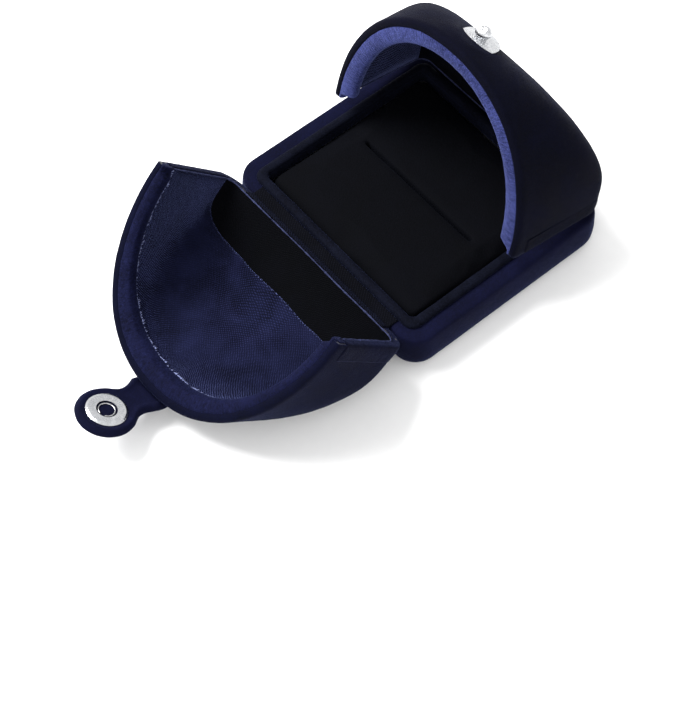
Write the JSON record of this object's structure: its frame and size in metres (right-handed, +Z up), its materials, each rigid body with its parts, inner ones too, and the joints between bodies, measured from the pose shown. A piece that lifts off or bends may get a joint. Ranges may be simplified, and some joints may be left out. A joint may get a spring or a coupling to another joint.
{
  "type": "ring box",
  "caption": "Small velvet-covered jewellery box with a shallow base, a slit ring pad, and two domed lids that open outward and close with a strap and press snap.",
  "frame": {"origin": "centre of the flat bottom face of the base", "axes": "+Z up, +X from the left lid's hinge to the right lid's hinge, +Y along the hinge lines"},
  "size_m": [0.1381, 0.07, 0.0604],
  "materials": {
    "velvet_outer": "short-pile navy velvet with a blue sheen",
    "velvet_rim": "navy velvet rolled over the edge, pile standing open and lighter",
    "velvet_pad": "near-black navy velvet",
    "velvet_lining": "navy short-pile lining with a fine diagonal ground weave",
    "hinge_tape": "dark navy woven tape",
    "foam": "soft polyurethane foam",
    "moulded_plastic": "thin moulded shell",
    "card": "stiff card",
    "snap_metal": "bright plated steel"
  },
  "bodies": {
    "base": {"base_shell": "moulded_plastic", "base_padding": "foam", "base_cover": "velvet_outer", "bottom_card": "card", "collar": "card", "collar_cover": "velvet_pad", "pad_board": "card", "pad_foam": "foam", "pad_cover": "velvet_pad", "left_hinge_base_leaf": "hinge_tape", "right_hinge_base_leaf": "hinge_tape"},
    "left_lid": {"left_lid_cover": "velvet_outer", "left_lid_padding": "foam", "left_lid_shell": "moulded_plastic", "left_lid_liner": "velvet_lining", "left_lid_end_liner": "velvet_lining", "left_lid_rim": "velvet_rim", "left_lid_rim_core": "foam", "left_hinge_lid_leaf": "hinge_tape", "strap_anchor": "velvet_outer"},
    "right_lid": {"right_lid_cover": "velvet_outer", "right_lid_padding": "foam", "right_lid_shell": "moulded_plastic", "right_lid_liner": "velvet_lining", "right_lid_end_liner": "velvet_lining", "right_lid_rim": "velvet_rim", "right_lid_rim_core": "foam", "right_hinge_lid_leaf": "hinge_tape", "snap_stud": "snap_metal", "snap_backplate": "snap_metal"},
    "strap": {"strap_cover": "velvet_outer", "strap_core": "card", "snap_socket": "snap_metal", "snap_spring": "snap_metal", "snap_cap": "snap_metal"}
  },
  "joints": [
    {"name": "left_lid_hinge", "type": "hinge", "parent": "base", "child": "left_lid", "pos_m": [-0.0325, 0, 0.0121], "axis": [0, 1, 0], "range_deg": [0, 131.6]},
    {"name": "right_lid_hinge", "type": "hinge", "parent": "base", "child": "right_lid", "pos_m": [0.0325, 0, 0.0121], "axis": [0, 1, 0], "range_deg": [-11, 120]},
    {"name": "strap_flex", "type": "hinge", "parent": "left_lid", "child": "strap", "pos_m": [-0.08626, 0, 0.00569], "axis": [0, 1, 0], "range_deg": [-20, 41.5], "stiffness_Nm_per_rad": 0.006}
  ]
}
